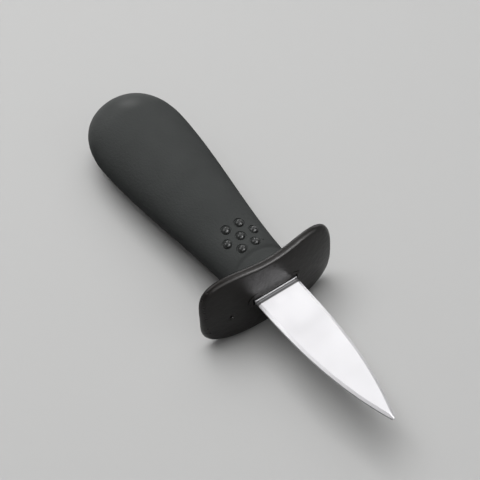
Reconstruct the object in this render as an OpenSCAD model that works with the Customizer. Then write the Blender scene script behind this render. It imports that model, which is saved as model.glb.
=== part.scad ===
// Oyster knife: a short spear-shaped steel blade whose hidden tang runs through a swept oval
// hand guard into a moulded pear-shaped handle. The knife is drawn along its own axis, with the
// blade's root at zero and the tip towards +X, and is then laid down as it rests on a table, on
// the guard's lower rim and the handle's belly. Sizes are in millimetres.

/* [Blade] */
// Length of the blade in front of the guard
blade_len = 60; // [50:1:80]
// Width of the blade at its root
blade_w = 16.8; // [14:0.1:20]
// Thickness of the steel
blade_t = 2; // [1.5:0.1:3]
// Radius of the rounded tip
tip_r = 0.7; // [0.5:0.1:2]
// How long the edges stay nearly parallel before they run in to the tip
blade_fullness = 2.75; // [2:0.05:4]
// Length of the unground band in front of the guard
ricasso_len = 0.6; // [0.4:0.1:3]
// Length over which the grinding runs out to the unground band
plunge_len = 1.3; // [0.5:0.1:3]
// Depth that grinding takes off each face and each edge
grind_depth = 0.14; // [0.05:0.01:0.2]
// Width of the bevel along the blade's edges
bevel_w = 0.9; // [0.4:0.1:2]
// Thickness left at the blunt edge
edge_t = 0.7; // [0.4:0.1:1.2]

/* [Tang] */
// Length of the tang behind the blade's shoulders
tang_len = 60; // [40:1:75]
// Width of the tang
tang_w = 9; // [6:0.5:12]
// Width of the tang's tapered end
tang_end_w = 5; // [3:0.5:6]
// Depth that the blade's full width sits in the guard
shoulder_depth = 1.5; // [1:0.1:2]
// Radius of the half-round notches that key the tang in the handle
notch_r = 1.5; // [1:0.1:2]

/* [Guard] */
// Width of the guard across the knife
guard_w = 52; // [46:0.2:60]
// Height of the guard
guard_h = 34; // [30:0.2:38]
// Distance that the guard's middle lies below the blade's
guard_drop = 1.5; // [0:0.1:2.5]
// Thickness of the guard's rounded rim
rim_t = 2.8; // [2.4:0.1:4]
// Squareness of the guard's outline: 2 is an ellipse, more is squarer
guard_squareness = 3.6; // [3:0.1:6]
// Distance that the guard's ends sweep back towards the handle
guard_sweep = 4.1; // [0:0.1:6]
// Distance that the guard's upper and lower rims lean back
guard_bow = 2.1; // [0:0.1:3]
// Depth of the dip in the middle of the upper and lower rims
guard_waist = 2; // [0:0.1:3]
// Depth of the guard's face below its rim
guard_recess = 0.1; // [0.1:0.1:0.6]
// Height of the fillet round the blade on the guard's face
boss_rise = 2; // [1:0.1:4]

/* [Handle] */
// Length of the handle
handle_len = 96.4; // [85:0.1:110]
// Width of the handle at the guard
neck_w = 21.9; // [18:0.1:24]
// Thickness of the handle at the guard
neck_t = 19.4; // [16:0.1:22]
// Width of the handle at its belly
belly_w = 35.3; // [30:0.1:40]
// Thickness of the handle at its belly
belly_t = 26.8; // [22:0.1:29]
// Distance from the guard to the belly, as a part of the handle's length
belly_place = 0.83; // [0.7:0.01:0.9]
// Place where the butt starts to close, as a part of the handle's length
butt_place = 0.76; // [0.7:0.005:0.85]
// Squareness of the butt's outline
butt_squareness = 2.5; // [1.8:0.1:3]
// Squareness of the handle's section at the guard
neck_squareness = 2.1; // [2:0.1:4]
// Squareness of the handle's section at the butt
belly_squareness = 2; // [2:0.05:3]
// Distance that the handle's middle lies below the blade's at the guard
neck_drop = 0.8; // [0:0.1:1.5]
// Distance that the handle's middle lies above the blade's at the butt
butt_lift = 1.3; // [0:0.1:2.5]

/* [Thumb rest] */
// Distance from the guard to the deepest point of the dish that the thumb lies in
dish_place = 17.4; // [15:0.1:20]
// Length of the dish along the handle
dish_len = 22; // [16:1:26]
// Width of the dish
dish_w = 16; // [14:1:18]
// Depth of the dish
dish_depth = 0.7; // [0.1:0.1:1]
// Distance from the guard to the bottom of the shallow groove
groove_place = 7.7; // [5:0.1:9]
// Depth of the groove
groove_depth = 0.4; // [0.2:0.05:1]
// Height that the handle's top climbs to meet the guard
flare_h = 1.2; // [0.5:0.1:2]
// Diameter of a grip nub
nub_d = 2.9; // [2:0.1:3.6]
// Height of a grip nub
nub_h = 1; // [0.4:0.1:1.2]
// Distance from the middle nub to each of the six round it
nub_ring_r = 5.3; // [4.6:0.1:6]
// Distance from the guard to the middle nub
nub_place = 15.6; // [14:0.1:20]

/* [Hidden] */

steel = [0.86, 0.86, 0.88];
guard_black = [0.15, 0.14, 0.13];
handle_black = [0.19, 0.2, 0.2];

// Where the handle's front face meets the guard's back, behind the blade's root
seat_x = -3.6;
rim_r = rim_t / 2;
face_e = rim_r - guard_recess;
// Half width of the dip in the guard's rims
waist_reach = 16.5;
// Width of the lip round the blade, reach of its fillet beside the blade, and its depth
boss_lip = 0.6;
boss_side = 1.4;
boss_depth = 0.8;
nub_count = 6;
nub_groove_r = 0.25;
// Half width that the blade's sides would leave at the tip, where its round end takes over
spear_end = 0.7 * tip_r;
blade_steps = 24;
edge_round = 0.4;
around = 64;
handle_around = 48;
step = 0.01;

// Point at angle a on an oval of half sizes y and z and squareness n
function oval(y, z, n, a) =
    let (r = pow(pow(abs(cos(a)), n) + pow(abs(sin(a)), n), -1 / n))
    [y * r * cos(a), z * r * sin(a)];

// Smooth rise from 0 to 1 as t goes from 0 to 1
function ease(t) = (1 - cos(180 * min(max(t, 0), 1))) / 2;

// Half width of the blade at distance x from its root: a spear that ends in a small round tip
function blade_half(x) =
    let (past = x - (blade_len - tip_r))
    past > tip_r / 3
        ? sqrt(tip_r * tip_r - past * past)
        : spear_end + (blade_w / 2 - spear_end) * (1 - pow(max(x, 0) / blade_len, blade_fullness));

// How far the dished guard lies behind its middle at a point of its face
function guard_back(y, z) =
    guard_sweep * pow(2 * y / guard_w, 2) + guard_bow * pow(2 * z / guard_h, 2);

// Ring of the guard: inset from the outline, share of the way out, and offset along the knife
function guard_ring(inset, share, offset) = [for (i = [0:around - 1])
    let (
        p = share * oval(guard_w / 2 - inset, guard_h / 2 - inset, guard_squareness, 360 * i / around),
        z = p[1] * (1 - 2 * guard_waist / guard_h * exp(-pow(p[0] / waist_reach, 2)))
    )
    [offset - rim_r - guard_back(p[0], z), p[0], z - guard_drop]];

// Distance from the guard as a part of the handle's length
function along(x) = (seat_x - x) / handle_len;

// Size of the handle at x, growing from the neck to the belly and closing at the butt
function swell(neck, belly, x) = neck + (belly - neck) * ease(along(x) / belly_place);
function butt_close(x) =
    let (t = min(max((along(x) - butt_place) / (1 - butt_place), 0), 1))
    pow(max(1 - pow(t, butt_squareness), 0), 1 / butt_squareness);
function handle_half_w(x) = swell(neck_w, belly_w, x) / 2 * butt_close(x);
function handle_half_t(x) = swell(neck_t, belly_t, x) / 2 * butt_close(x);
function squareness(x) = swell(neck_squareness, belly_squareness, x);
function handle_middle(x) = -neck_drop + (butt_lift + neck_drop) * along(x);

// Smooth hump of height 1 and the given width round t = 0
function hump(t, width) = 1 - ease(abs(2 * t / width));

// Rise of the handle's top over its plain oval: the flare at the guard, less the curved groove
// and the shallow dish in which the nubs stand
function thumb_rise(x, y) =
    let (
        d = seat_x - x,
        side = max(1 - pow(2 * y / neck_w, 4), 0),
        line = groove_place - y * y / (2 * neck_w),
        flare = flare_h * (1 - ease(d / (line - 0.5))),
        groove = groove_depth * exp(-pow((d - line) / 1.6, 2)),
        dish = dish_depth * hump(d - dish_place, dish_len) * hump(y, dish_w)
    )
    side * (flare - groove) - dish;

function handle_top(x, y) =
    let (n = squareness(x))
    handle_middle(x) + handle_half_t(x) * pow(max(1 - pow(abs(y) / handle_half_w(x), n), 0), 1 / n)
        + thumb_rise(x, y);

function handle_ring(x, inset) = [for (i = [0:handle_around - 1])
    let (
        p = oval(handle_half_w(x) - inset, handle_half_t(x) - inset, squareness(x), 360 * i / handle_around),
        rise = p[1] > 0 ? thumb_rise(x, p[0]) * ease(2 * p[1] / handle_half_t(x)) : 0
    )
    [x, p[0], handle_middle(x) + p[1] + rise]];

// Stations of the handle from its butt: crowded where it closes, then even, then closer together
// along the dish, and closest at the groove
butt_len = handle_len * (1 - butt_place);
dish_end = dish_place + dish_len / 2;
handle_stations = concat(
    [for (a = [82.5:-7.5:0]) seat_x - handle_len + butt_len * (1 - sin(a))],
    [for (d = [floor(handle_len * butt_place) - 2:-4:dish_end]) seat_x - d],
    [for (d = [dish_end - 1:-1.7:13]) seat_x - d],
    [for (d = [12:-0.8:edge_round]) seat_x - d]);
handle_face = handle_ring(seat_x, edge_round);
handle_rings = concat(
    [handle_ring(seat_x - handle_len + step, 0)],
    [for (x = handle_stations) handle_ring(x, 0)],
    [handle_face]);

// The rounded rim of the guard, from its back to its front
rim_rings = [for (a = [-90:22.5:90]) guard_ring(rim_r * (1 - cos(a)), 1, rim_r * sin(a))];
face_shares = [1, 0.75, 0.5, 0.25, 0.01];
face_inset = rim_t + 0.4;
function face_rings(side) = concat(
    [guard_ring(rim_r + 0.9, 1, side * (face_e + 0.75 * guard_recess)),
     guard_ring(rim_r + 1.7, 1, side * (face_e + 0.2 * guard_recess))],
    [for (s = face_shares) guard_ring(face_inset, s, side * face_e)]);
function turned(list) = [for (i = [len(list) - 1:-1:0]) list[i]];
guard_rings = concat(turned(face_rings(-1)), rim_rings, face_rings(1));

// The knife tips back from the guard until its belly meets the table
function tipped(p, a) = [p[0] * cos(a) - p[2] * sin(a), p[1], p[0] * sin(a) + p[2] * cos(a)];
function lowest(points, a) = min([for (p = points) tipped(p, a)[2]]);
belly_line = [for (x = handle_stations) [x, 0, handle_middle(x) - handle_half_t(x)]];
rim_line = [for (ring = rim_rings) each ring];
function rest_angle(low, high, turns) =
    let (a = (low + high) / 2)
    turns == 0 ? a :
    lowest(belly_line, a) > lowest(rim_line, a) ? rest_angle(a, high, turns - 1)
                                                : rest_angle(low, a, turns - 1);
rest_tilt = rest_angle(0, 10, 20);
rest_lift = -lowest(rim_line, rest_tilt);
tip_front = tipped([blade_len, 0, -edge_t / 2], rest_tilt)[0];
butt_back = min([for (ring = handle_rings) for (p = ring) tipped(p, rest_tilt)[0]]);

module at_rest() {
    translate([-(tip_front + butt_back) / 2, 0, rest_lift]) rotate([0, -rest_tilt, 0]) children();
}

// Solid over rings that all have the same number of points and follow each other along +X, closed
// by a flat face at each end
module skin(rings) {
    n = len(rings[0]);
    last = (len(rings) - 1) * n;
    polyhedron(
        points = [for (ring = rings) each ring],
        faces = concat(
            [[for (i = [0:n - 1]) i]],
            [for (j = [0:len(rings) - 2]) for (i = [0:n - 1])
                let (a = j * n + i, b = j * n + (i + 1) % n)
                each [[a, a + n, b], [b, a + n, b + n]]],
            [[for (i = [n - 1:-1:0]) last + i]]));
}

// Steel as it is cut from the sheet: the unground band, the shoulders and the notched tang
module blank() {
    translate([0, 0, -blade_t / 2]) linear_extrude(blade_t) {
        translate([-shoulder_depth, -blade_w / 2]) square([shoulder_depth + ricasso_len, blade_w]);
        difference() {
            translate([-shoulder_depth, 0]) polygon([
                [step, -tang_w / 2], [step, tang_w / 2],
                [-tang_len * 0.8, tang_w / 2], [-tang_len, tang_end_w / 2],
                [-tang_len, -tang_end_w / 2], [-tang_len * 0.8, -tang_w / 2]]);
            for (place = [0.4, 0.65], side = [-1, 1])
                translate([-shoulder_depth - tang_len * place, side * tang_w / 2])
                    circle(r = notch_r, $fn = 32);
        }
    }
}

// Section of the blade at x: the grinding deepens from the unground band to flat faces, narrow
// bevels and blunt edges, and the bevels meet at the tip
function blade_section(x) =
    let (
        ground = ease((x - ricasso_len) / plunge_len),
        y = blade_half(x) - grind_depth * ground * (1 - x / blade_len) - step,
        share = min(0.7 * y / bevel_w, 1),
        bevel = max(bevel_w * ground * share, step),
        face_z = blade_t / 2 - grind_depth * ground - step,
        edge_z = face_z * (1 - ground) + edge_t / 2 * ground,
        top_z = edge_z + (face_z - edge_z) * share
    )
    [[x, y, -edge_z], [x, y, edge_z], [x, y - bevel, top_z], [x, bevel - y, top_z],
     [x, -y, edge_z], [x, -y, -edge_z], [x, bevel - y, -top_z], [x, y - bevel, -top_z]];

module ground_blade() {
    plunge = [for (i = [-1, 1, 2, 3, 4, 5]) ricasso_len + plunge_len * i / 5];
    sides_start = ricasso_len + plunge_len;
    sides_end = blade_len - tip_r;
    sides = [for (i = [1:blade_steps]) sides_start + (sides_end - sides_start) * i / blade_steps];
    tip = [for (a = [25:15:85]) blade_len - tip_r * (1 - sin(a))];
    skin([for (x = concat(plunge, sides, tip)) blade_section(x)]);
}

module blade() {
    color(steel) at_rest() {
        blank();
        ground_blade();
    }
}

// Low lip round the blade, with a fillet that runs out on the guard's face
module guard_boss() {
    skin(concat(
        [[for (i = [0:around - 1])
            let (p = oval(blade_w / 2 + boss_lip + boss_side, blade_t / 2 + boss_lip + boss_rise, 3, 360 * i / around))
            [-boss_depth - 1, p[0], p[1]]]],
        [for (a = [0:15:90]) [for (i = [0:around - 1])
            let (
                spread = 1 - sin(a),
                p = oval(
                    blade_w / 2 + boss_lip + boss_side * spread,
                    blade_t / 2 + boss_lip + boss_rise * spread, 3, 360 * i / around)
            )
            [-boss_depth * cos(a), p[0], p[1]]]]));
}

module guard() {
    color(guard_black) at_rest() difference() {
        union() {
            skin(guard_rings);
            guard_boss();
            skin([handle_face, [for (p = handle_face) [seat_x + 1.5, p[1], p[2]]]]);
        }
        blank();
    }
}

// Places its child on the handle's top, square to the surface
module on_top(x, y) {
    slope_x = (handle_top(x + step, y) - handle_top(x - step, y)) / (2 * step);
    slope_y = (handle_top(x, y + step) - handle_top(x, y - step)) / (2 * step);
    translate([x, y, handle_top(x, y)]) rotate([atan(slope_y), -atan(slope_x), 0]) children();
}

module at_nubs() {
    middle_x = seat_x - nub_place;
    on_top(middle_x, 0) children();
    for (i = [0:nub_count - 1])
        let (a = 90 + 360 * i / nub_count)
        on_top(middle_x + nub_ring_r * cos(a), nub_ring_r * sin(a)) children();
}

module nub() {
    nub_r = nub_d / 2;
    ball_r = (nub_r * nub_r + nub_h * nub_h) / (2 * nub_h);
    translate([0, 0, nub_h - ball_r]) sphere(r = ball_r, $fn = 48);
}

module nub_groove() {
    rotate_extrude($fn = 48) translate([nub_d / 2 + nub_groove_r / 2, 0]) circle(r = nub_groove_r, $fn = 16);
}

module handle() {
    color(handle_black) at_rest() difference() {
        union() {
            difference() {
                skin(handle_rings);
                at_nubs() nub_groove();
            }
            at_nubs() nub();
        }
        blank();
    }
}

blade();
guard();
handle();
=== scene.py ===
"""Models an oyster knife's blade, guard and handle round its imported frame, and sets its stage."""

import math
from typing import NamedTuple

import bpy
from bpy.props import FloatProperty, FloatVectorProperty, IntProperty, PointerProperty
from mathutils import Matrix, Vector


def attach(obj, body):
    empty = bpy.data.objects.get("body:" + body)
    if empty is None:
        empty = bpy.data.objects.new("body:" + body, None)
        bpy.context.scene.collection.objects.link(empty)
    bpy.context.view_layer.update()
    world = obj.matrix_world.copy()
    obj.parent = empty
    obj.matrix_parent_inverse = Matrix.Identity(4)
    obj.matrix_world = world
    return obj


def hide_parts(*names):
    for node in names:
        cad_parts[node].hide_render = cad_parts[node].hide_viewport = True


bl_info = {
    "name": "Oyster Knife",
    "version": (1, 0, 0),
    "blender": (4, 5, 0),
    "location": "View3D > Sidebar > Knife",
    "description": "Models and finishes an oyster knife round its packed frame",
    "category": "Object",
}

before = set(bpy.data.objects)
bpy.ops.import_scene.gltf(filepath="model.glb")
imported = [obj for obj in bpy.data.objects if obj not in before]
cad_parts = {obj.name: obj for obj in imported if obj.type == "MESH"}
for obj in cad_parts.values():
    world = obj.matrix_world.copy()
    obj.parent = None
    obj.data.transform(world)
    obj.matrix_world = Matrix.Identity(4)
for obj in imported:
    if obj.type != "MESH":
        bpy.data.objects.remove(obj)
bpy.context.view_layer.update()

# Distance under which two points of a new shape are one
WELD = 1e-6
# Cut left at the corners of a section that has no bevel, so that all sections have eight points
HAIRLINE = 1e-5
# Segments in each quarter of an oval, on the guard's and handle's skins and on the small pads
SKIN_QUARTER = 24
PAD_QUARTER = 16
# Angles under which faces shade as one surface, on the ground steel and on the plastics
STEEL_SMOOTH = math.radians(15)
PLASTIC_SMOOTH = math.radians(35)

# Steps along the blade's grinding run-out and along its sides
PLUNGE_STEPS = 8
SIDE_STEPS = 48
# Degrees round the blade's tip at which its sections lie
TIP_ARC = range(25, 90, 8)
# Place past the tip's middle from which the outline is round, and half width of the spear at
# the tip, as parts of the tip's radius
TIP_START = 1 / 3
TIP_WIDTH = 0.7
# Largest part of the blade's half width that a bevel takes, which narrows the bevels at the tip
BEVEL_LIMIT = 0.7
# Parts of the tang's length at which its pairs of notches lie, and the part that isn't tapered
NOTCH_PLACES = (0.4, 0.65)
TANG_STRAIGHT = 0.8
NOTCH_SEGMENTS = 32

# Degrees round the guard's rim and the lip's fillet at which their rings lie
RIM_ARC = range(-90, 91, 10)
FILLET_ARC = range(0, 91, 10)
# Rings from the rim to the middle of the guard's face, and the last one's part of the face
FACE_RINGS = 12
LAST_RING = 0.02
# Squareness of the lip round the blade, and how deep it starts inside the guard
LIP_SQUARENESS = 3
LIP_ROOT = 0.001
# How far the pad that meets the handle reaches into the guard
PAD_DEPTH = 0.0015
# Length of the tools that cut the blade's pocket and the tang's slot
SLOT_CUT = 0.01
# Gate marks on the guard's face: place across and up, and depth
GATE_MARKS = ((-0.0162, -0.0036, 0.0003), (-0.0055, 0.0042, 0.00005))
GATE_RADIUS = 0.0012
# Size of the stud left in the first gate mark, as parts of that mark's radius and depth
STUD_RADIUS = 0.45
STUD_HEIGHT = 1.5
# Nicks along the guard's left rim: place across and up
NICKS = (
    (-0.0248, 0.0083), (-0.0249, 0.0058), (-0.0250, 0.0035), (-0.0247, 0.0004),
    (-0.0244, -0.0052), (-0.0236, -0.0083), (-0.0227, 0.0112))
NICK_RADIUS = 0.0005
NICK_DEPTH = 0.0002

# Degrees round the handle's front edge and round its butt at which sections lie
NECK_ARC = (90, 67.5, 45, 22.5)
BUTT_ARC = (*range(4, 92, 4), 89.4)
# Sections of the handle through its flare and groove, a fine step apart, and sections from there
# to where the butt starts to close
FLARE_SECTIONS = 40
FLARE_STEP = 0.00035
BODY_SECTIONS = 36
# Distance in front of the groove at which the flare has run out
FLARE_MARGIN = 0.0005
# Segments round the ball that makes a nub or a mark, from its one pole to the other, and round
# the section of a nub's fine groove
CAP_SEGMENTS = 48
CAP_RINGS = 32
GROOVE_SEGMENTS = 16
# Pip beside the nubs, left by moulding: place along and across
PIP_PLACE = (-0.01428, 0.0053)
PIP_RADIUS = 0.00045
PIP_HEIGHT = 0.0003

# Distance in front of the guard and height above the handle from which a spot on their skin is
# looked for
AHEAD = 0.02
ABOVE = 0.05

# Shares of the steel's colour in the slot, at the guard, on the band and on its streak: painted
# shade in the slot, a painted dark reflection of the guard at the root and on the band, and a
# painted highlight along the streak
SLOT_PAINTED_SHADE = 0.02
ROOT_PAINTED_SHADE = 0.3
BAND_PAINTED_SHADE = 0.28
STREAK_PAINTED_HIGHLIGHT = 0.62
# Distance of that streak from the front of the step, and its half width
STREAK_PLACE = 0.0006
STREAK_WIDTH = 0.0003
# Length over which one share of the colour turns to the next, and the slot's roughness
BLEND = 0.0001
SLOT_ROUGHNESS = 0.9
# Share of the steel's colour where the ground face starts, and by distance further on: painted
# light, which lightens the steel near the guard against the guard's shade and dims it further out
GROUND_PAINTED_LIGHT = 1.45
GROUND_PAINTED_LIGHT_STOPS = ((0.006, 1.28), (0.014, 1.14), (0.024, 0.93), (0.040, 0.85))
# Grinding lines a metre, how far they stretch across the blade, and uneven patches a metre
GRIND_SCALE = 1500
GRIND_STRETCH = (1, 0.04, 1)
STEEL_PATCHES = 140
# Patches of shade and gloss a metre on the plastics
SKIN_PATCHES = 60
# How much roughness differs between patches, on the steel and on the plastics
STEEL_SPREAD = 0.03
SKIN_SPREAD = 0.04
# Range that most of a noise's values fill
NOISE_RANGE = (0.3, 0.7)
# Distances from the butt's end at which its gloss is full and has faded out
BUTT_GLOSS_FULL = 0.007
BUTT_GLOSS_END = 0.016


class Lamp(NamedTuple):
    """A soft box of even brightness that faces the knife, for dull surfaces, for gloss or both"""

    name: str
    place: tuple
    width: float
    height: float
    radiance: float
    diffuse: bool = True
    glossy: bool = True


LAMPS = (
    Lamp("overhead_soft_box", (-0.42, 0.26, 0.95), 1.2, 1.1, 0.95),
    Lamp("near_edge_card", (-0.57, -0.52, 0.68), 0.8, 0.7, 3.2, diffuse=False),
    Lamp("far_edge_card", (-0.50, 0.95, 0.25), 0.7, 0.3, 4.2, diffuse=False),
    Lamp("rim_card", (0.16, 0.34, 0.93), 0.45, 0.45, 2.5, diffuse=False),
    Lamp("front_lamp", (0.62, 0.36, 0.69), 0.35, 0.35, 16, diffuse=False),
    Lamp("front_strip", (0.74, 0.16, 0.58), 1.8, 0.7, 3.6, diffuse=False),
    Lamp("back_card", (-0.85, 0.38, 0.38), 0.3, 0.2, 14, diffuse=False),
    Lamp("top_fill", (-0.30, -0.08, 1.0), 0.8, 0.8, 4.0, glossy=False),
)


def metres(name, description, default):
    """A size that a user can change, given and shown in metres."""
    return FloatProperty(
        name=name, description=description, default=default, min=0, precision=5,
        subtype="DISTANCE", unit="LENGTH")


def number(name, description, default):
    """A plain number that a user can change."""
    return FloatProperty(name=name, description=description, default=default, min=0)


def factor(name, description, default):
    """A share from 0 to 1 that a user can change."""
    return FloatProperty(
        name=name, description=description, default=default, min=0, max=1, subtype="FACTOR")


def angle(name, description, degrees):
    """An angle that a user can change, given in degrees."""
    return FloatProperty(
        name=name, description=description, default=math.radians(degrees),
        subtype="ANGLE", unit="ROTATION")


def colour(name, description, default):
    """A colour that a user can change."""
    return FloatVectorProperty(
        name=name, description=description, default=default, min=0, max=1, size=3,
        subtype="COLOR")


class KnifePlace(bpy.types.PropertyGroup):
    """Where the knife, which is drawn along its own axis, lies as it rests"""

    tilt: angle("Tilt", "Angle at which the knife tips back from the guard to the belly", 3.44766)
    lift: metres("Lift", "Height of the blade's root above the table", 0.0172668)
    shift: metres("Shift", "Distance of the blade's root from the middle of the knife", 0.0200136)


class BladeSizes(bpy.types.PropertyGroup):
    """Sizes of the blade and its tang"""

    length: metres("Length", "Length of the blade in front of the guard", 0.060)
    width: metres("Width", "Width of the blade at its root", 0.0168)
    thickness: metres("Thickness", "Thickness of the steel", 0.002)
    fullness: number("Fullness", "How long the edges stay nearly parallel", 2.75)
    tip_radius: metres("Tip radius", "Radius of the rounded tip", 0.0007)
    step: metres("Step", "Distance from the guard to the step down to the band", 0.00015)
    plunge: metres("Plunge", "Length of that step", 0.00035)
    # The band is ground like the face in front of it; its darkness is a painted dark reflection of
    # the guard
    band: metres("Band", "Distance from the guard to the front of the dull unground band", 0.0021)
    grind: metres("Grind", "Depth that grinding takes off", 0.00014)
    bevel: metres("Bevel", "Width of the bevel along the edges", 0.0009)
    edge: metres("Edge", "Thickness left at the blunt edge", 0.0007)
    shoulder: metres("Shoulder", "Depth that the full width sits in the guard", 0.0015)
    tang_length: metres("Tang length", "Length of the tang behind the shoulders", 0.060)
    tang_width: metres("Tang width", "Width of the tang", 0.009)
    tang_end: metres("Tang end", "Width of the tang's tapered end", 0.005)
    notch: metres("Notch", "Radius of the notches that key the tang in the handle", 0.0015)


class GuardSizes(bpy.types.PropertyGroup):
    """Sizes of the hand guard"""

    width: metres("Width", "Width of the guard across the knife", 0.052)
    height: metres("Height", "Height of the guard", 0.034)
    drop: metres("Drop", "Distance that the guard's middle lies below the blade's", 0.0015)
    rim: metres("Rim", "Thickness of the rounded rim", 0.0028)
    squareness: number("Squareness", "Outline of the guard: 2 is an ellipse, more is squarer", 3.6)
    sweep: metres("Sweep", "Distance that the ends sweep back", 0.0041)
    bow: metres("Bow", "Distance that the upper and lower rims lean back", 0.0021)
    waist: metres("Waist", "Depth of the dip in the middle of the upper and lower rims", 0.002)
    waist_reach: metres("Waist reach", "Half width of that dip", 0.0165)
    lip: metres("Lip", "Width of the lip round the blade", 0.0006)
    fillet_rise: metres("Fillet rise", "Height of the lip's fillet above the blade", 0.002)
    fillet_side: metres("Fillet side", "Reach of the lip's fillet beside the blade", 0.0014)
    fillet_depth: metres("Fillet depth", "Distance that the lip stands out at its corners", 0.0004)
    gap: metres("Gap", "Width of the fine gap round the blade", 0.0005)


class HandleSizes(bpy.types.PropertyGroup):
    """Sizes of the handle and its thumb rest"""

    length: metres("Length", "Length of the handle", 0.0964)
    seat: metres("Seat", "Distance of the handle's face behind the blade's root", 0.0036)
    neck_width: metres("Neck width", "Width at the guard", 0.0219)
    neck_thickness: metres("Neck thickness", "Thickness at the guard", 0.0194)
    belly_width: metres("Belly width", "Width at the belly", 0.0353)
    belly_thickness: metres("Belly thickness", "Thickness at the belly", 0.0268)
    belly_place: number("Belly place", "Distance to the belly, as a part of the length", 0.83)
    butt_place: number(
        "Butt place", "Distance to where the butt starts to close, as a part of the length", 0.76)
    butt_squareness: number("Butt squareness", "Squareness of the butt's outline", 2.5)
    neck_squareness: number("Neck squareness", "Squareness of the section at the guard", 2.1)
    belly_squareness: number("Belly squareness", "Squareness of the section at the belly", 2)
    neck_drop: metres("Neck drop", "Distance of the neck's middle below the blade's", 0.0008)
    butt_lift: metres("Butt lift", "Distance of the butt's middle above the blade's", 0.0013)
    neck_round: metres("Neck round", "Radius of the rounded edge at the guard", 0.0004)
    groove_place: metres("Groove place", "Distance from the guard to the shallow groove", 0.0077)
    groove_depth: metres("Groove depth", "Depth of the shallow groove", 0.0007)
    groove_reach: metres("Groove reach", "Half width of the shallow groove", 0.0009)
    flare: metres("Flare", "Height that the top climbs to meet the guard", 0.0012)
    dish_place: metres("Dish place", "Distance from the guard to the thumb's dish", 0.0174)
    dish_length: metres("Dish length", "Length of the thumb's dish along the handle", 0.022)
    dish_width: metres("Dish width", "Width of the thumb's dish", 0.016)
    dish_depth: metres("Dish depth", "Depth of the thumb's dish", 0.0007)
    nub_width: metres("Nub width", "Diameter of a grip nub", 0.0029)
    nub_height: metres("Nub height", "Height of a grip nub", 0.001)
    nub_groove: metres("Nub groove", "Radius of the fine groove round a nub", 0.00032)
    nub_ring: metres("Nub ring", "Distance from the middle nub to those round it", 0.0053)
    nub_place: metres("Nub place", "Distance from the guard to the middle nub", 0.0156)
    nub_count: IntProperty(name="Nubs", description="Nubs round the middle one", default=6, min=3)


class KnifeFinishes(bpy.types.PropertyGroup):
    """Colours and gloss of the knife's steel and plastics"""

    steel_colour: colour("Steel", "Colour of the ground steel", (0.50, 0.495, 0.508))
    guard_colour: colour("Guard", "Colour of the guard's plastic", (0.0125, 0.0108, 0.0098))
    handle_colour: colour("Handle", "Colour of the handle's plastic", (0.056, 0.059, 0.058))
    # The nubs' darker colour is painted shade: a darker copy of the handle's plastic
    nub_shaded_colour: colour(
        "Nubs", "Colour of the grip nubs, which thumbs keep dark", (0.026, 0.0275, 0.027))
    steel_roughness: factor(
        "Steel roughness", "How much the grinding blurs the steel's reflections", 0.42)
    # The band's darker colour is a painted reflection of the guard; only its roughness is its own
    band_roughness: factor(
        "Band roughness", "How much the unground band blurs reflections", 0.3)
    steel_metallic: factor(
        "Steel metallic", "How much of the steel's light is mirrored, not scattered", 0.8)
    steel_stretch: factor(
        "Steel stretch", "How far the grinding lines stretch the highlights", 0.8)
    guard_roughness: factor("Guard roughness", "How dull the guard's plastic is", 0.33)
    nub_roughness: factor(
        "Nub roughness", "How dull the grip nubs are, which thumbs polish", 0.30)
    handle_roughness: factor("Handle roughness", "How dull the handle's plastic is", 0.76)
    butt_gloss: factor("Butt gloss", "How much gloss the palm has given the butt", 0.3)
    butt_roughness: factor("Butt roughness", "How much that gloss blurs reflections", 0.36)


class StageSettings(bpy.types.PropertyGroup):
    """Floor, lamps and camera"""

    floor_size: metres("Floor size", "Length of the floor's sides", 6)
    floor_colour: colour(
        "Floor", "Colour of the floor as it and its reflections are seen", (0.56, 0.56, 0.555))
    bounce_colour: colour(
        "Bounce", "Colour of the light that the floor throws back on the knife",
        (0.12, 0.12, 0.12))
    world_strength: number("World strength", "Light from all round", 0.12)
    camera_azimuth: angle("Camera azimuth", "Angle of the camera round the knife", 54.652)
    camera_elevation: angle("Camera elevation", "Angle of the camera above the floor", 54.257)
    camera_distance: metres(
        "Camera distance", "Distance from the camera to the point it aims at", 0.45325)
    camera_aim: FloatVectorProperty(
        name="Camera aim", description="Point that the camera looks at",
        subtype="XYZ", unit="LENGTH", size=3, default=(-0.003726, 0.002641, 0.016))
    field_of_view: angle("Field of view", "Angle that the picture takes in", 20)


def ease(part):
    """A smooth rise from 0 to 1."""
    return (1 - math.cos(math.pi * min(max(part, 0), 1))) / 2


def hump(part):
    """A smooth hump of height 1 and width 1 round 0."""
    return 1 - ease(abs(2 * part))


def sine_cosine(degrees):
    """Sine and cosine of an angle in degrees."""
    return math.sin(math.radians(degrees)), math.cos(math.radians(degrees))


def start_piece(name):
    """A new mesh object, empty and in edit mode, for the shapes that follow."""
    bpy.ops.object.select_all(action="DESELECT")
    bpy.ops.mesh.primitive_plane_add()
    piece = bpy.context.object
    piece.name = piece.data.name = name
    bpy.ops.object.mode_set(mode="EDIT")
    bpy.ops.mesh.delete(type="VERT")
    return piece


def add_oval(place, half_width, half_height, squareness, quarter):
    """Adds a face across the knife: a square whose corners are rounded until they meet."""
    bpy.ops.mesh.primitive_plane_add(size=2, rotation=(0, math.radians(90), 0))
    bpy.ops.mesh.bevel(
        offset=1, segments=quarter, profile=2 ** (-2 / squareness), affect="VERTICES")
    bpy.ops.mesh.remove_doubles(threshold=WELD)
    bpy.ops.transform.resize(value=(1, half_width, half_height))
    bpy.ops.transform.translate(value=place)


def extrude_to(step, scale_y, scale_z):
    """Extrudes the selected face along the knife and scales it there."""
    bpy.ops.mesh.extrude_region_move(TRANSFORM_OT_translate={"value": (step, 0, 0)})
    bpy.ops.transform.resize(value=(1, scale_y, scale_z))


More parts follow.
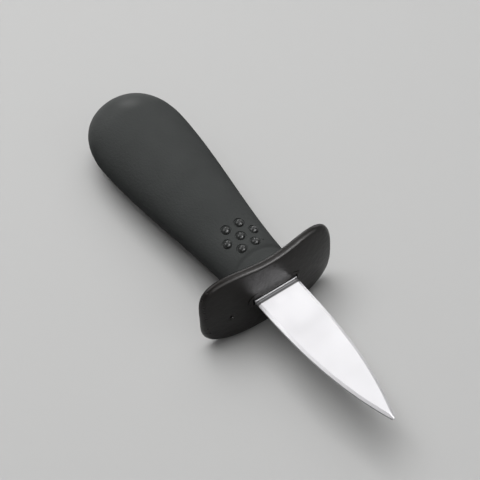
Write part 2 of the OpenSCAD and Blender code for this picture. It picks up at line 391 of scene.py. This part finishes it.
def bridge_faces():
    """Joins all the faces across a new piece, in their order along it, into one closed skin."""
    bpy.ops.mesh.select_all(action="SELECT")
    bpy.ops.mesh.delete(type="ONLY_FACE")
    bpy.ops.mesh.select_all(action="SELECT")
    bpy.ops.mesh.bridge_edge_loops()


def close_piece():
    """Closes the ends of a new piece, turns its faces outwards and leaves edit mode."""
    bpy.ops.mesh.select_all(action="SELECT")
    bpy.ops.mesh.fill_holes(sides=0)
    bpy.ops.mesh.select_all(action="SELECT")
    bpy.ops.mesh.normals_make_consistent(inside=False)
    bpy.ops.object.mode_set(mode="OBJECT")


def make_active(piece):
    """Selects one object alone."""
    bpy.ops.object.select_all(action="DESELECT")
    piece.select_set(True)
    bpy.context.view_layer.objects.active = piece


def apply_modifier(piece, modifier):
    """Makes a modifier's result the piece's mesh."""
    make_active(piece)
    if bpy.ops.object.modifier_apply(modifier=modifier.name) != {"FINISHED"}:
        raise RuntimeError(f"a modifier can't be applied to {piece.name}")


def push(piece, axis, distance, share):
    """Moves the piece's points along an axis, each by its own share of a distance."""
    group = piece.vertex_groups.new(name="share")
    for vertex in piece.data.vertices:
        group.add([vertex.index], share(vertex.co), "REPLACE")
    modifier = piece.modifiers.new("push", "DISPLACE")
    modifier.direction = axis
    modifier.strength = distance
    modifier.mid_level = 0
    modifier.vertex_group = group.name
    apply_modifier(piece, modifier)
    piece.vertex_groups.clear()


def combine(piece, tools, operation):
    """Joins tool meshes to the piece or cuts them from it, removes them and welds the seam."""
    make_active(tools[0])
    for tool in tools[1:]:
        tool.select_set(True)
    if len(tools) > 1:
        bpy.ops.object.join()
    modifier = piece.modifiers.new("combine", "BOOLEAN")
    modifier.operation = operation
    modifier.solver = "EXACT"
    modifier.object = tools[0]
    apply_modifier(piece, modifier)
    bpy.data.objects.remove(tools[0])
    bpy.ops.object.mode_set(mode="EDIT")
    bpy.ops.mesh.select_all(action="SELECT")
    bpy.ops.mesh.remove_doubles(threshold=WELD)
    bpy.ops.object.mode_set(mode="OBJECT")


def cut_box(piece, place, size):
    """Cuts a square hole in the piece."""
    bpy.ops.mesh.primitive_cube_add(size=1, location=place, scale=size)
    combine(piece, [bpy.context.object], "DIFFERENCE")


def surface_seat(piece, origin, direction):
    """Where a straight line meets the piece, and the turn that stands Z square to it there."""
    hit, place, normal, _ = piece.ray_cast(Vector(origin), Vector(direction))
    if not hit:
        raise RuntimeError(f"the line from {origin} misses {piece.name}")
    return place, normal.to_track_quat("Z", "Y")


def add_cap(place, turn, radius, height):
    """A ball that meets the surface in a circle and stands up by the height, or dips below 0."""
    ball = (radius * radius + height * height) / (2 * abs(height))
    middle = height - math.copysign(ball, height)
    bpy.ops.mesh.primitive_uv_sphere_add(
        location=place + turn @ Vector((0, 0, middle)), rotation=turn.to_euler(),
        radius=ball, segments=CAP_SEGMENTS, ring_count=CAP_RINGS)
    return bpy.context.object


def finish_piece(piece, node, materials, smooth_angle):
    """Lays a piece down as the knife rests, and lets it stand for its CAD node."""
    place = bpy.context.scene.knife_place
    make_active(piece)
    piece.rotation_euler = (0, -place.tilt, 0)
    piece.location = (place.shift, 0, place.lift)
    bpy.ops.object.transform_apply(location=True, rotation=True, scale=True)
    bpy.ops.object.shade_smooth_by_angle(angle=smooth_angle)
    for material in materials:
        piece.data.materials.append(material)
    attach(piece, "root")
    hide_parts(node)


def new_material(name, base, roughness, metallic=0.0, specular=0.5):
    """A material with one Principled shader, whose constant values sit on its own sockets."""
    material = bpy.data.materials.new(name)
    material.use_nodes = True
    shader = material.node_tree.nodes["Principled BSDF"]
    shader.inputs["Base Color"].default_value = (*base, 1)
    shader.inputs["Roughness"].default_value = roughness
    shader.inputs["Metallic"].default_value = metallic
    shader.inputs["Specular IOR Level"].default_value = specular
    return material, material.node_tree, shader


def add_texture_bump(tree, shader, texture, strength, distance):
    """Feeds a texture's value to the shader as a bump."""
    bump = tree.nodes.new("ShaderNodeBump")
    bump.inputs["Strength"].default_value = strength
    bump.inputs["Distance"].default_value = distance
    tree.links.new(texture, bump.inputs["Height"])
    tree.links.new(bump.outputs["Normal"], shader.inputs["Normal"])


def object_noise(tree, scale, detail=4.0, stretch=(1, 1, 1)):
    """Noise read from Object coordinates, whose scale is in features a metre."""
    where = tree.nodes.new("ShaderNodeTexCoord")
    mapping = tree.nodes.new("ShaderNodeMapping")
    mapping.inputs["Scale"].default_value = stretch
    noise = tree.nodes.new("ShaderNodeTexNoise")
    noise.inputs["Scale"].default_value = scale
    noise.inputs["Detail"].default_value = detail
    tree.links.new(where.outputs["Object"], mapping.inputs["Vector"])
    tree.links.new(mapping.outputs["Vector"], noise.inputs["Vector"])
    return noise


def map_range(tree, value, start, end, low, high):
    """Maps a node's value from one range to another, and stops at the ends."""
    node = tree.nodes.new("ShaderNodeMapRange")
    node.inputs["From Min"].default_value = start
    node.inputs["From Max"].default_value = end
    node.inputs["To Min"].default_value = low
    node.inputs["To Max"].default_value = high
    tree.links.new(value, node.inputs["Value"])
    return node.outputs["Result"]


def mix_colours(tree, share, low, high):
    """A colour that goes from low to high with a node's share."""
    node = tree.nodes.new("ShaderNodeMix")
    node.data_type = "RGBA"
    sockets = [socket for socket in node.inputs if socket.type == "RGBA"]
    for socket, end in zip(sockets, (low, high)):
        socket.default_value = (*end, 1)
    tree.links.new(share, node.inputs["Factor"])
    return next(socket for socket in node.outputs if socket.type == "RGBA")


def add_values(tree, first, second):
    """The sum of two nodes' values."""
    node = tree.nodes.new("ShaderNodeMath")
    node.operation = "ADD"
    tree.links.new(first, node.inputs[0])
    tree.links.new(second, node.inputs[1])
    return node.outputs["Value"]


def along_knife(tree, place):
    """Distance in front of the blade's root, along the knife as it rests."""
    where = tree.nodes.new("ShaderNodeTexCoord")
    turn = tree.nodes.new("ShaderNodeMapping")
    turn.vector_type = "TEXTURE"
    turn.inputs["Location"].default_value = (place.shift, 0, place.lift)
    turn.inputs["Rotation"].default_value = (0, -place.tilt, 0)
    split = tree.nodes.new("ShaderNodeSeparateXYZ")
    tree.links.new(where.outputs["Object"], turn.inputs["Vector"])
    tree.links.new(turn.outputs["Vector"], split.inputs["Vector"])
    return split.outputs["X"]


def steel_stops(sizes, finishes):
    """Stops along the blade from the slot on: place, share of the steel's colour, and roughness.
    The shares paint shade in the slot, a dark reflection of the guard at the root and on the band,
    a highlight along the streak and light on the ground face.
    """
    rough, smooth = finishes.steel_roughness, finishes.band_roughness
    step = sizes.step + sizes.plunge
    streak = step + STREAK_PLACE
    return (
        (0, SLOT_PAINTED_SHADE, SLOT_ROUGHNESS),
        (BLEND, ROOT_PAINTED_SHADE, rough),
        (step - BLEND, ROOT_PAINTED_SHADE, rough),
        (step + BLEND, BAND_PAINTED_SHADE, smooth),
        (streak - STREAK_WIDTH, BAND_PAINTED_SHADE, smooth),
        (streak, STREAK_PAINTED_HIGHLIGHT, smooth),
        (streak + STREAK_WIDTH, BAND_PAINTED_SHADE, smooth),
        (sizes.band - BLEND, BAND_PAINTED_SHADE, smooth),
        (sizes.band, GROUND_PAINTED_LIGHT, rough),
        *((place, share, rough) for place, share in GROUND_PAINTED_LIGHT_STOPS))


def steel_ramp(scene, tree):
    """A ramp along the blade that gives the steel's colour, with its painted shade, reflection,
    highlight and light, and its roughness as Alpha.
    """
    finishes = scene.knife_finishes
    stops = steel_stops(scene.blade_sizes, finishes)
    low, high = stops[0][0], stops[-1][0]
    ramp = tree.nodes.new("ShaderNodeValToRGB")
    elements = ramp.color_ramp.elements
    while len(elements) < len(stops):
        elements.new(0.5)
    for element, (place, share, roughness) in zip(elements, stops):
        element.position = (place - low) / (high - low)
        element.color = (*(min(share * c, 1) for c in finishes.steel_colour), roughness)
    along = map_range(tree, along_knife(tree, scene.knife_place), low, high, 0, 1)
    tree.links.new(along, ramp.inputs["Fac"])
    return ramp


def steel_material(scene):
    """Satin ground steel with its grinding lines, and a smoother band at the root whose darker
    colour is a painted reflection of the guard. The colour also paints shade in the slot and light
    near the guard.
    """
    finishes = scene.knife_finishes
    material, tree, shader = new_material(
        "ground_steel", finishes.steel_colour, finishes.steel_roughness,
        metallic=finishes.steel_metallic)
    lines = object_noise(tree, GRIND_SCALE, stretch=GRIND_STRETCH)
    add_texture_bump(tree, shader, lines.outputs["Fac"], strength=0.05, distance=0.0001)
    # The grinding lines run across the blade, so highlights stretch along it
    shader.inputs["Anisotropic"].default_value = finishes.steel_stretch
    surface = tree.nodes.new("ShaderNodeNewGeometry")
    along = tree.nodes.new("ShaderNodeVectorMath")
    along.operation = "CROSS_PRODUCT"
    along.inputs[1].default_value = (0, 1, 0)
    tree.links.new(surface.outputs["Normal"], along.inputs[0])
    tree.links.new(along.outputs["Vector"], shader.inputs["Tangent"])
    ramp = steel_ramp(scene, tree)
    tree.links.new(ramp.outputs["Color"], shader.inputs["Base Color"])
    patches = object_noise(tree, STEEL_PATCHES, detail=3).outputs["Fac"]
    spread = map_range(tree, patches, *NOISE_RANGE, -STEEL_SPREAD, STEEL_SPREAD)
    roughness = add_values(tree, ramp.outputs["Alpha"], spread)
    tree.links.new(roughness, shader.inputs["Roughness"])
    return material


def plastic_material(name, base, rough, specular, grain, strength, depth, mottle):
    """Moulded plastic: a fine grain, and a colour and gloss that change slowly over the skin."""
    material, tree, shader = new_material(name, base, rough, specular=specular)
    skin = object_noise(tree, grain)
    add_texture_bump(tree, shader, skin.outputs["Fac"], strength, depth)
    patches = object_noise(tree, SKIN_PATCHES, detail=6).outputs["Fac"]
    shade = map_range(tree, patches, *NOISE_RANGE, 0, 1)
    pale, deep = ([share * c for c in base] for share in (1 + mottle, 1 - mottle))
    tree.links.new(mix_colours(tree, shade, pale, deep), shader.inputs["Base Color"])
    gloss = map_range(tree, patches, *NOISE_RANGE, rough - SKIN_SPREAD, rough + SKIN_SPREAD)
    tree.links.new(gloss, shader.inputs["Roughness"])
    return material, tree, shader


def polish_butt(scene, tree, shader):
    """Adds a thin gloss towards the butt, which the palm polishes."""
    finishes, sizes = scene.knife_finishes, scene.handle_sizes
    end = -sizes.seat - sizes.length
    gloss = map_range(
        tree, along_knife(tree, scene.knife_place), end + BUTT_GLOSS_FULL, end + BUTT_GLOSS_END,
        finishes.butt_gloss, 0)
    tree.links.new(gloss, shader.inputs["Coat Weight"])
    shader.inputs["Coat Roughness"].default_value = finishes.butt_roughness


def blade_half(sizes, x):
    """Half width of the blade at x: a spear that ends in a small round tip."""
    past = x - (sizes.length - sizes.tip_radius)
    if past > TIP_START * sizes.tip_radius:
        return math.sqrt(sizes.tip_radius ** 2 - past ** 2)
    end = TIP_WIDTH * sizes.tip_radius
    return end + (sizes.width / 2 - end) * (1 - (max(x, 0) / sizes.length) ** sizes.fullness)


def add_blade_section(sizes, x):
    """Adds a face across the blade at x: a rectangle whose corners are cut to the bevels."""
    ground = ease((x - sizes.step) / sizes.plunge)
    half = blade_half(sizes, x) - sizes.grind * ground * (1 - max(x, 0) / sizes.length)
    share = min(BEVEL_LIMIT * half / sizes.bevel, 1)
    bevel = max(sizes.bevel * ground * share, HAIRLINE)
    full = sizes.thickness / 2 - sizes.grind * ground
    edge = full * (1 - ground) + sizes.edge / 2 * ground
    cut = max((full - edge) * share, HAIRLINE)
    add_cut_rectangle(x, half, edge + cut, bevel, cut)


def add_cut_rectangle(x, half_width, half_height, cut_width, cut_height):
    """Adds a rectangular face across the knife with its corners cut off."""
    bpy.ops.mesh.primitive_plane_add(size=2, rotation=(0, math.radians(90), 0))
    bpy.ops.transform.resize(value=(1, half_width * cut_height / cut_width, half_height))
    bpy.ops.mesh.bevel(offset=cut_height, segments=1, affect="VERTICES")
    bpy.ops.transform.resize(value=(1, cut_width / cut_height, 1))
    bpy.ops.transform.translate(value=(x, 0, 0))


class OBJECT_OT_knife_blade(bpy.types.Operator):
    """Model the blade with its short unground root, ground faces, bevels and notched tang; the
    darker band past the root is painted, not ground
    """

    bl_idname = "object.knife_blade"
    bl_label = "Blade"

    def execute(self, context):
        sizes = context.scene.blade_sizes
        piece = start_piece("knife_blade")
        back = -sizes.shoulder
        for x, width in (
                (back - sizes.tang_length, sizes.tang_end),
                (back - TANG_STRAIGHT * sizes.tang_length, sizes.tang_width),
                (back - 2 * HAIRLINE, sizes.tang_width)):
            add_cut_rectangle(x, width / 2, sizes.thickness / 2, HAIRLINE, HAIRLINE)
        start, end = sizes.step + sizes.plunge, sizes.length - sizes.tip_radius
        plunge = [sizes.step + sizes.plunge * i / PLUNGE_STEPS for i in range(PLUNGE_STEPS + 1)]
        sides = [start + (end - start) * i / SIDE_STEPS for i in range(1, SIDE_STEPS + 1)]
        tip = [sizes.length - sizes.tip_radius * (1 - sine_cosine(degrees)[0])
               for degrees in TIP_ARC]
        for x in [back, *plunge, *sides, *tip]:
            add_blade_section(sizes, x)
        bridge_faces()
        close_piece()
        notches = []
        for part in NOTCH_PLACES:
            for side in (-1, 1):
                bpy.ops.mesh.primitive_cylinder_add(
                    vertices=NOTCH_SEGMENTS, radius=sizes.notch, depth=2 * sizes.thickness,
                    location=(back - part * sizes.tang_length, side * sizes.tang_width / 2, 0))
                notches.append(context.object)
        combine(piece, notches, "DIFFERENCE")
        finish_piece(
            piece, "blade", [steel_material(context.scene)], STEEL_SMOOTH)
        return {"FINISHED"}


class OBJECT_OT_knife_guard(bpy.types.Operator):
    """Model the dished oval guard with its rounded rim, the lip round the blade and the slot"""

    bl_idname = "object.knife_guard"
    bl_label = "Guard"

    def execute(self, context):
        sizes = context.scene.guard_sizes
        blade = context.scene.blade_sizes
        piece = start_piece("knife_guard")
        rings = self.guard_rings(sizes)
        x, half_width, half_height = rings[0]
        add_oval((x, 0, 0), half_width, half_height, sizes.squareness, SKIN_QUARTER)
        for ring in rings[1:]:
            extrude_to(ring[0] - x, ring[1] / half_width, ring[2] / half_height)
            x, half_width, half_height = ring
        close_piece()
        self.dish(piece, sizes)
        self.add_lip(piece, sizes, blade)
        self.add_seat(piece, context.scene.handle_sizes)
        self.cut_slot(piece, sizes, blade)
        self.add_gate_marks(piece)
        self.cut_nicks(piece)
        finishes = context.scene.knife_finishes
        plastic, _, _ = plastic_material(
            "guard_plastic", finishes.guard_colour, finishes.guard_roughness,
            specular=0.22, grain=500, strength=0.4, depth=0.0003, mottle=0.3)
        finish_piece(piece, "guard", [plastic], PLASTIC_SMOOTH)
        return {"FINISHED"}

    def guard_rings(self, sizes):
        """Place, half width and half height of each ring of the flat guard, from back to front."""
        radius = sizes.rim / 2
        width, height = sizes.width / 2 - radius, sizes.height / 2 - radius
        rim = []
        for degrees in RIM_ARC:
            along, out = (radius * part for part in sine_cosine(degrees))
            rim.append((along - radius, width + out, height + out))
        shares = [*(i / FACE_RINGS for i in range(FACE_RINGS - 1, 0, -1)), LAST_RING]
        front = [(0, width * share, height * share) for share in shares]
        back = [(-sizes.rim, *halves) for _, *halves in reversed(front)]
        return back + rim + front

    def dish(self, piece, sizes):
        """Dips the middle of the rims, sweeps the ends back and leans the rims back."""
        half_width, half_height = sizes.width / 2, sizes.height / 2

        def dip(point):
            return abs(point.z) / half_height * math.exp(-(point.y / sizes.waist_reach) ** 2)

        push(piece, "Z", -sizes.waist, lambda point: dip(point) if point.z > 0 else 0)
        push(piece, "Z", sizes.waist, lambda point: dip(point) if point.z < 0 else 0)
        push(piece, "X", -sizes.sweep, lambda point: (point.y / half_width) ** 2)
        push(piece, "X", -sizes.bow, lambda point: (point.z / half_height) ** 2)
        piece.location.z = -sizes.drop
        make_active(piece)
        bpy.ops.object.transform_apply(location=True, rotation=True, scale=True)

    def add_lip(self, piece, sizes, blade):
        """Joins the low lip round the blade, whose fillet runs out on the guard's face."""
        lip = start_piece("lip")
        rings = [(-sizes.fillet_depth - LIP_ROOT, 1)]
        for degrees in FILLET_ARC:
            sine, cosine = sine_cosine(degrees)
            rings.append((-sizes.fillet_depth * cosine, 1 - sine))
        for x, spread in rings:
            add_oval(
                (x, 0, 0),
                blade.width / 2 + sizes.lip + sizes.fillet_side * spread,
                blade.thickness / 2 + sizes.lip + sizes.fillet_rise * spread,
                LIP_SQUARENESS, PAD_QUARTER)
        bridge_faces()
        close_piece()
        combine(piece, [lip], "UNION")

    def add_seat(self, piece, handle):
        """Joins the flat pad that the handle's face meets."""
        pad = start_piece("pad")
        for x in (-handle.seat, -handle.seat + PAD_DEPTH):
            add_oval(
                (x, 0, -handle.neck_drop),
                handle.neck_width / 2 - handle.neck_round,
                handle.neck_thickness / 2 - handle.neck_round,
                handle.neck_squareness, PAD_QUARTER)
        bridge_faces()
        close_piece()
        combine(piece, [pad], "UNION")

    def cut_slot(self, piece, sizes, blade):
        """Cuts the pocket for the blade's shoulders and the slot for its tang."""
        for back, width in ((-blade.shoulder, blade.width), (-SLOT_CUT, blade.tang_width)):
            cut_box(
                piece, (back + SLOT_CUT / 2, 0, 0),
                (SLOT_CUT, width + 2 * sizes.gap, blade.thickness + 2 * sizes.gap))

    def add_gate_marks(self, piece):
        """Sinks the small round marks that moulding left on the guard's face, one with a stud."""
        seats = [(surface_seat(piece, (AHEAD, y, z), (-1, 0, 0)), depth)
                 for y, z, depth in GATE_MARKS]
        for seat, depth in seats:
            combine(piece, [add_cap(*seat, GATE_RADIUS, -depth)], "DIFFERENCE")
        seat, depth = seats[0]
        stud = add_cap(*seat, STUD_RADIUS * GATE_RADIUS, STUD_HEIGHT * depth)
        combine(piece, [stud], "UNION")

    def cut_nicks(self, piece):
        """Cuts the nicks that wear has left along the rim."""
        for y, z in NICKS:
            seat = surface_seat(piece, (AHEAD, y, z), (-1, 0, 0))
            combine(piece, [add_cap(*seat, NICK_RADIUS, -NICK_DEPTH)], "DIFFERENCE")


def handle_section(sizes, x):
    """Middle height, half width, half thickness and squareness of the handle at x."""
    part = (-sizes.seat - x) / sizes.length
    grown = ease(part / sizes.belly_place)
    past = min(max((part - sizes.butt_place) / (1 - sizes.butt_place), 0), 1)
    close = (1 - past ** sizes.butt_squareness) ** (1 / sizes.butt_squareness)

    def swell(neck, belly):
        return neck + (belly - neck) * grown

    return (
        -sizes.neck_drop + (sizes.butt_lift + sizes.neck_drop) * part,
        swell(sizes.neck_width, sizes.belly_width) / 2 * close,
        swell(sizes.neck_thickness, sizes.belly_thickness) / 2 * close,
        swell(sizes.neck_squareness, sizes.belly_squareness))


class OBJECT_OT_knife_handle(bpy.types.Operator):
    """Model the pear-shaped handle with its thumb rest, groove and grip nubs"""

    bl_idname = "object.knife_handle"
    bl_label = "Handle"

    def execute(self, context):
        sizes = context.scene.handle_sizes
        piece = start_piece("knife_handle")
        for x, inset in self.stations(sizes):
            middle, half_width, half_height, squareness = handle_section(sizes, x)
            add_oval(
                (x, 0, middle), half_width - inset, half_height - inset, squareness,
                SKIN_QUARTER)
        bridge_faces()
        close_piece()
        self.shape_thumb_rest(piece, sizes)
        self.add_nubs(piece, sizes)
        finishes = context.scene.knife_finishes
        skin, tree, shader = plastic_material(
            "handle_plastic", finishes.handle_colour, finishes.handle_roughness,
            specular=0.03, grain=1300, strength=0.7, depth=0.0002, mottle=0.08)
        polish_butt(context.scene, tree, shader)
        # The nubs take a glossier copy of the handle's plastic, whose darker colour is painted
        # shade
        polish, _, _ = plastic_material(
            "nub_plastic_painted_shade", finishes.nub_shaded_colour, finishes.nub_roughness,
            specular=0.34, grain=2500, strength=0.05, depth=0.0002, mottle=0.08)
        finish_piece(piece, "handle", [skin, polish], PLASTIC_SMOOTH)
        return {"FINISHED"}

    def stations(self, sizes):
        """Places of the handle's sections and how far each is inset, from the guard to the butt."""
        places = []
        for degrees in NECK_ARC:
            sine, cosine = sine_cosine(degrees)
            places.append((sizes.neck_round * (1 - sine), sizes.neck_round * (1 - cosine)))
        flare = [sizes.neck_round + i * FLARE_STEP for i in range(FLARE_SECTIONS)]
        places += [(distance, 0) for distance in flare]
        start, close_start = flare[-1], sizes.butt_place * sizes.length
        step = (close_start - start) / BODY_SECTIONS
        places += [(start + step * i, 0) for i in range(1, BODY_SECTIONS + 1)]
        closing = sizes.length - close_start
        for degrees in BUTT_ARC:
            past = sine_cosine(degrees)[0] ** (2 / sizes.butt_squareness)
            places.append((close_start + closing * past, 0))
        return [(-sizes.seat - distance, inset) for distance, inset in places]

    def shape_thumb_rest(self, piece, sizes):
        """Raises the flare at the guard, and sinks the curved groove and the thumb's dish."""

        def top_share(point):
            middle, _, half_height, _ = handle_section(sizes, point.x)
            return ease(2 * max(point.z - middle, 0) / half_height)

        def inner_share(point):
            return top_share(point) * max(1 - (2 * point.y / sizes.neck_width) ** 4, 0)

        def line(point):
            return sizes.groove_place - point.y ** 2 / (2 * sizes.neck_width)

        def flare(point):
            run = (-sizes.seat - point.x) / (line(point) - FLARE_MARGIN)
            return inner_share(point) * (1 - ease(run))

        def groove(point):
            away = (-sizes.seat - point.x - line(point)) / sizes.groove_reach
            return inner_share(point) * math.exp(-away ** 2)

        def dish(point):
            along = hump((-sizes.seat - point.x - sizes.dish_place) / sizes.dish_length)
            return top_share(point) * along * hump(point.y / sizes.dish_width)

        push(piece, "Z", sizes.flare, flare)
        push(piece, "Z", -sizes.groove_depth, groove)
        push(piece, "Z", -sizes.dish_depth, dish)

    def add_nubs(self, piece, sizes):
        """Adds the nubs, one in the middle and the rest in a ring round it, and the pip."""
        middle = Vector((-sizes.seat - sizes.nub_place, 0, ABOVE))
        places = [middle]
        for i in range(sizes.nub_count):
            sine, cosine = sine_cosine(90 + 360 * i / sizes.nub_count)
            places.append(middle + sizes.nub_ring * Vector((cosine, sine, 0)))
        seats = [surface_seat(piece, place, (0, 0, -1)) for place in places]
        grooves = []
        for place, turn in seats:
            bpy.ops.mesh.primitive_torus_add(
                location=place, rotation=turn.to_euler(),
                major_radius=(sizes.nub_width + sizes.nub_groove) / 2,
                minor_radius=sizes.nub_groove,
                major_segments=CAP_SEGMENTS, minor_segments=GROOVE_SEGMENTS)
            grooves.append(bpy.context.object)
        combine(piece, grooves, "DIFFERENCE")
        nubs = [add_cap(*seat, sizes.nub_width / 2, sizes.nub_height) for seat in seats]
        pip = surface_seat(piece, (*PIP_PLACE, ABOVE), (0, 0, -1))
        nubs.append(add_cap(*pip, PIP_RADIUS, PIP_HEIGHT))
        combine(piece, nubs, "UNION")
        # Faces on the nubs take that glossier copy, with its painted shade
        for face in piece.data.polygons:
            if any((face.center - place).length < sizes.nub_width / 2 for place, _ in seats):
                face.material_index = 1


def add_lamp(lamp):
    """Adds a lamp that faces the middle of the knife."""
    place = Vector(lamp.place)
    bpy.ops.object.light_add(type="AREA", location=place)
    light = bpy.context.object
    light.name = lamp.name
    light.data.shape = "RECTANGLE"
    light.data.size = lamp.width
    light.data.size_y = lamp.height
    light.data.energy = lamp.radiance * math.pi * lamp.width * lamp.height
    light.rotation_euler = place.to_track_quat("Z", "Y").to_euler()
    light.visible_glossy = lamp.glossy
    light.visible_diffuse = lamp.diffuse


def floor_material(settings):
    """Paper that the camera, gloss and glass see pale, and that throws less light on the knife."""
    material, tree, shader = new_material("floor_paper", settings.floor_colour, roughness=0.9)
    path = tree.nodes.new("ShaderNodeLightPath")
    seen = add_values(tree, path.outputs["Is Camera Ray"], path.outputs["Is Glossy Ray"])
    seen = add_values(tree, seen, path.outputs["Is Transmission Ray"])
    paper = mix_colours(tree, seen, settings.bounce_colour, settings.floor_colour)
    tree.links.new(paper, shader.inputs["Base Color"])
    return material


class OBJECT_OT_knife_stage(bpy.types.Operator):
    """Add the floor, the soft lamps and the camera"""

    bl_idname = "object.knife_stage"
    bl_label = "Stage"

    def execute(self, context):
        settings = context.scene.knife_stage
        bpy.ops.object.select_all(action="DESELECT")
        bpy.ops.mesh.primitive_plane_add(size=settings.floor_size)
        floor = context.object
        floor.name = "floor"
        floor.data.materials.append(floor_material(settings))

        world = bpy.data.worlds.new("studio")
        world.use_nodes = True
        background = world.node_tree.nodes["Background"]
        background.inputs["Color"].default_value = (1, 1, 1, 1)
        background.inputs["Strength"].default_value = settings.world_strength
        context.scene.world = world
        for lamp in LAMPS:
            add_lamp(lamp)

        bpy.ops.object.camera_add()
        camera = context.object
        camera.name = "camera"
        camera.data.sensor_fit = "HORIZONTAL"
        camera.data.angle = settings.field_of_view
        camera.data.clip_start = 0.01
        azimuth, elevation = settings.camera_azimuth, settings.camera_elevation
        back = Vector((
            math.sin(azimuth) * math.cos(elevation),
            -math.cos(azimuth) * math.cos(elevation),
            math.sin(elevation)))
        camera.location = Vector(settings.camera_aim) + settings.camera_distance * back
        camera.rotation_euler = back.to_track_quat("Z", "Y").to_euler()
        context.scene.camera = camera
        context.scene.view_settings.view_transform = "Standard"
        return {"FINISHED"}


SETTINGS = (
    ("knife_place", KnifePlace),
    ("blade_sizes", BladeSizes),
    ("guard_sizes", GuardSizes),
    ("handle_sizes", HandleSizes),
    ("knife_finishes", KnifeFinishes),
    ("knife_stage", StageSettings),
)
OPERATORS = (
    OBJECT_OT_knife_blade,
    OBJECT_OT_knife_guard,
    OBJECT_OT_knife_handle,
    OBJECT_OT_knife_stage,
)


class VIEW3D_PT_knife(bpy.types.Panel):
    """Lists the knife's pieces and settings"""

    bl_label = "Oyster Knife"
    bl_space_type = "VIEW_3D"
    bl_region_type = "UI"
    bl_category = "Knife"

    def draw(self, context):
        layout = self.layout
        for operator in OPERATORS:
            layout.operator(operator.bl_idname)
        for name, _ in SETTINGS:
            group = getattr(context.scene, name)
            layout.label(text=group.bl_rna.description)
            for setting in group.bl_rna.properties.keys():
                if setting not in ("rna_type", "name"):
                    layout.prop(group, setting)


def register():
    for name, group in SETTINGS:
        bpy.utils.register_class(group)
        setattr(bpy.types.Scene, name, PointerProperty(type=group))
    for cls in (*OPERATORS, VIEW3D_PT_knife):
        bpy.utils.register_class(cls)


def unregister():
    for cls in (VIEW3D_PT_knife, *OPERATORS):
        bpy.utils.unregister_class(cls)
    for name, group in SETTINGS:
        delattr(bpy.types.Scene, name)
        bpy.utils.unregister_class(group)


def main():
    register()
    bpy.ops.object.knife_blade()
    bpy.ops.object.knife_guard()
    bpy.ops.object.knife_handle()
    bpy.ops.object.knife_stage()


if __name__ == "__main__":
    main()
